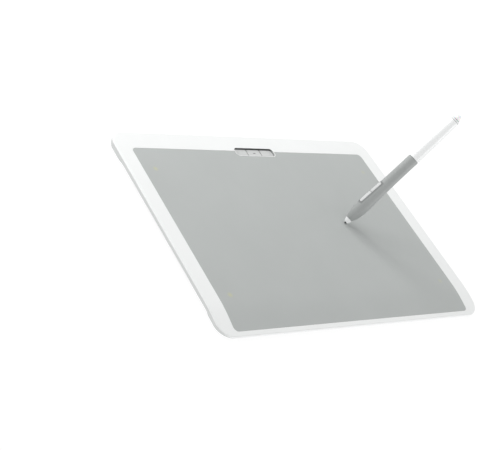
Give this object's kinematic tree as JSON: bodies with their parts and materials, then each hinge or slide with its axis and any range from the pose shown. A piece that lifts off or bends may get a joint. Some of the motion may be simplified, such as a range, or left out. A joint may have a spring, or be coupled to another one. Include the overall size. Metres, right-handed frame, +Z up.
{
  "type": "pen drawing tablet",
  "caption": "Thin pen drawing tablet with a matt grey drawing surface in a white frame, a key bar on the rear edge, a silver back cover and a stylus standing on its nib.",
  "frame": {"origin": "centre of the tablet outline, on the desk plane that the feet stand on", "axes": "+X to the right of the drawing surface, +Y to the rear edge with the keys and the port, +Z up out of the drawing surface"},
  "size_m": [0.3212, 0.2344, 0.1323],
  "materials": {
    "bezel_white": "satin moulded white plastic",
    "sheet_grey": "fine matt texture for the nib",
    "cover_silver": "satin silver",
    "key_grey": "satin",
    "foot_rubber": "matt",
    "inner_black": "matt",
    "circuit_board": "solder mask",
    "shield_foil": "plain",
    "steel": "plain",
    "battery_foil": "foil pouch",
    "silicone": "matt",
    "flex_copper": "polyimide film",
    "light_amber": "translucent light guide",
    "nib_black": "worn matt",
    "pen_white": "satin",
    "pen_grey": "soft-touch",
    "pen_button": "satin",
    "pen_ring": "satin",
    "eraser": "translucent",
    "coil_copper": "enamelled winding"
  },
  "bodies": {
    "tablet": {"top_frame": "bezel_white", "drawing_surface": "sheet_grey", "support_plate": "inner_black", "sensor_board": "circuit_board", "shield_plate": "shield_foil", "back_cover": "cover_silver", "main_board": "circuit_board", "key_dome_mat": "silicone", "shield_can": "steel", "radio_module": "inner_black", "battery": "battery_foil", "sensor_ribbon": "flex_copper", "usb_receptacle": "steel", "case_screw_left": "steel", "case_screw_right": "steel", "foot_rear_left": "foot_rubber", "foot_rear_right": "foot_rubber", "foot_front_left": "foot_rubber", "foot_front_right": "foot_rubber", "foot_rear_middle": "foot_rubber", "corner_light_front_left": "light_amber", "corner_light_front_right": "light_amber", "corner_light_rear_left": "light_amber", "corner_light_rear_right": "light_amber"},
    "key_left": {"express_key_left": "key_grey"},
    "key_middle": {"express_key_middle": "key_grey"},
    "key_right": {"express_key_right": "key_grey"},
    "pen": {"pen_grip": "pen_grey", "pen_nose_cone": "pen_white", "pen_rear_barrel": "pen_white", "pen_end_ring": "pen_ring", "pen_coil": "coil_copper", "pen_pressure_sensor": "steel", "pen_board": "circuit_board", "pen_eraser_sensor": "steel"},
    "nib": {"pen_nib": "nib_black"},
    "button_front": {"pen_button_front": "pen_button"},
    "button_rear": {"pen_button_rear": "pen_button"},
    "eraser": {"pen_eraser": "eraser"}
  },
  "joints": [
    {"name": "key_left_press", "type": "slide", "parent": "tablet", "child": "key_left", "axis": [0, 0, -1], "range_m": [0, 0.0004], "stiffness_N_per_m": 1500},
    {"name": "key_middle_press", "type": "slide", "parent": "tablet", "child": "key_middle", "axis": [0, 0, -1], "range_m": [0, 0.0004], "stiffness_N_per_m": 1500},
    {"name": "key_right_press", "type": "slide", "parent": "tablet", "child": "key_right", "axis": [0, 0, -1], "range_m": [0, 0.0004], "stiffness_N_per_m": 1500},
    {"name": "pen_lift", "type": "slide", "parent": "tablet", "child": "pen", "axis": [0, 0, 1], "range_m": [0, 0.12]},
    {"name": "nib_press", "type": "slide", "parent": "pen", "child": "nib", "axis": [0.5447, 0.1475, 0.8256], "range_m": [0, 0.0004], "stiffness_N_per_m": 2000},
    {"name": "button_front_press", "type": "slide", "parent": "pen", "child": "button_front", "axis": [0.7677, -0.4839, -0.4201], "range_m": [0, 0.0004], "stiffness_N_per_m": 1500},
    {"name": "button_rear_press", "type": "slide", "parent": "pen", "child": "button_rear", "axis": [0.7677, -0.4839, -0.4201], "range_m": [0, 0.0004], "stiffness_N_per_m": 1500},
    {"name": "eraser_press", "type": "slide", "parent": "pen", "child": "eraser", "axis": [-0.5447, -0.1475, -0.8256], "range_m": [0, 0.0005], "stiffness_N_per_m": 1500}
  ]
}
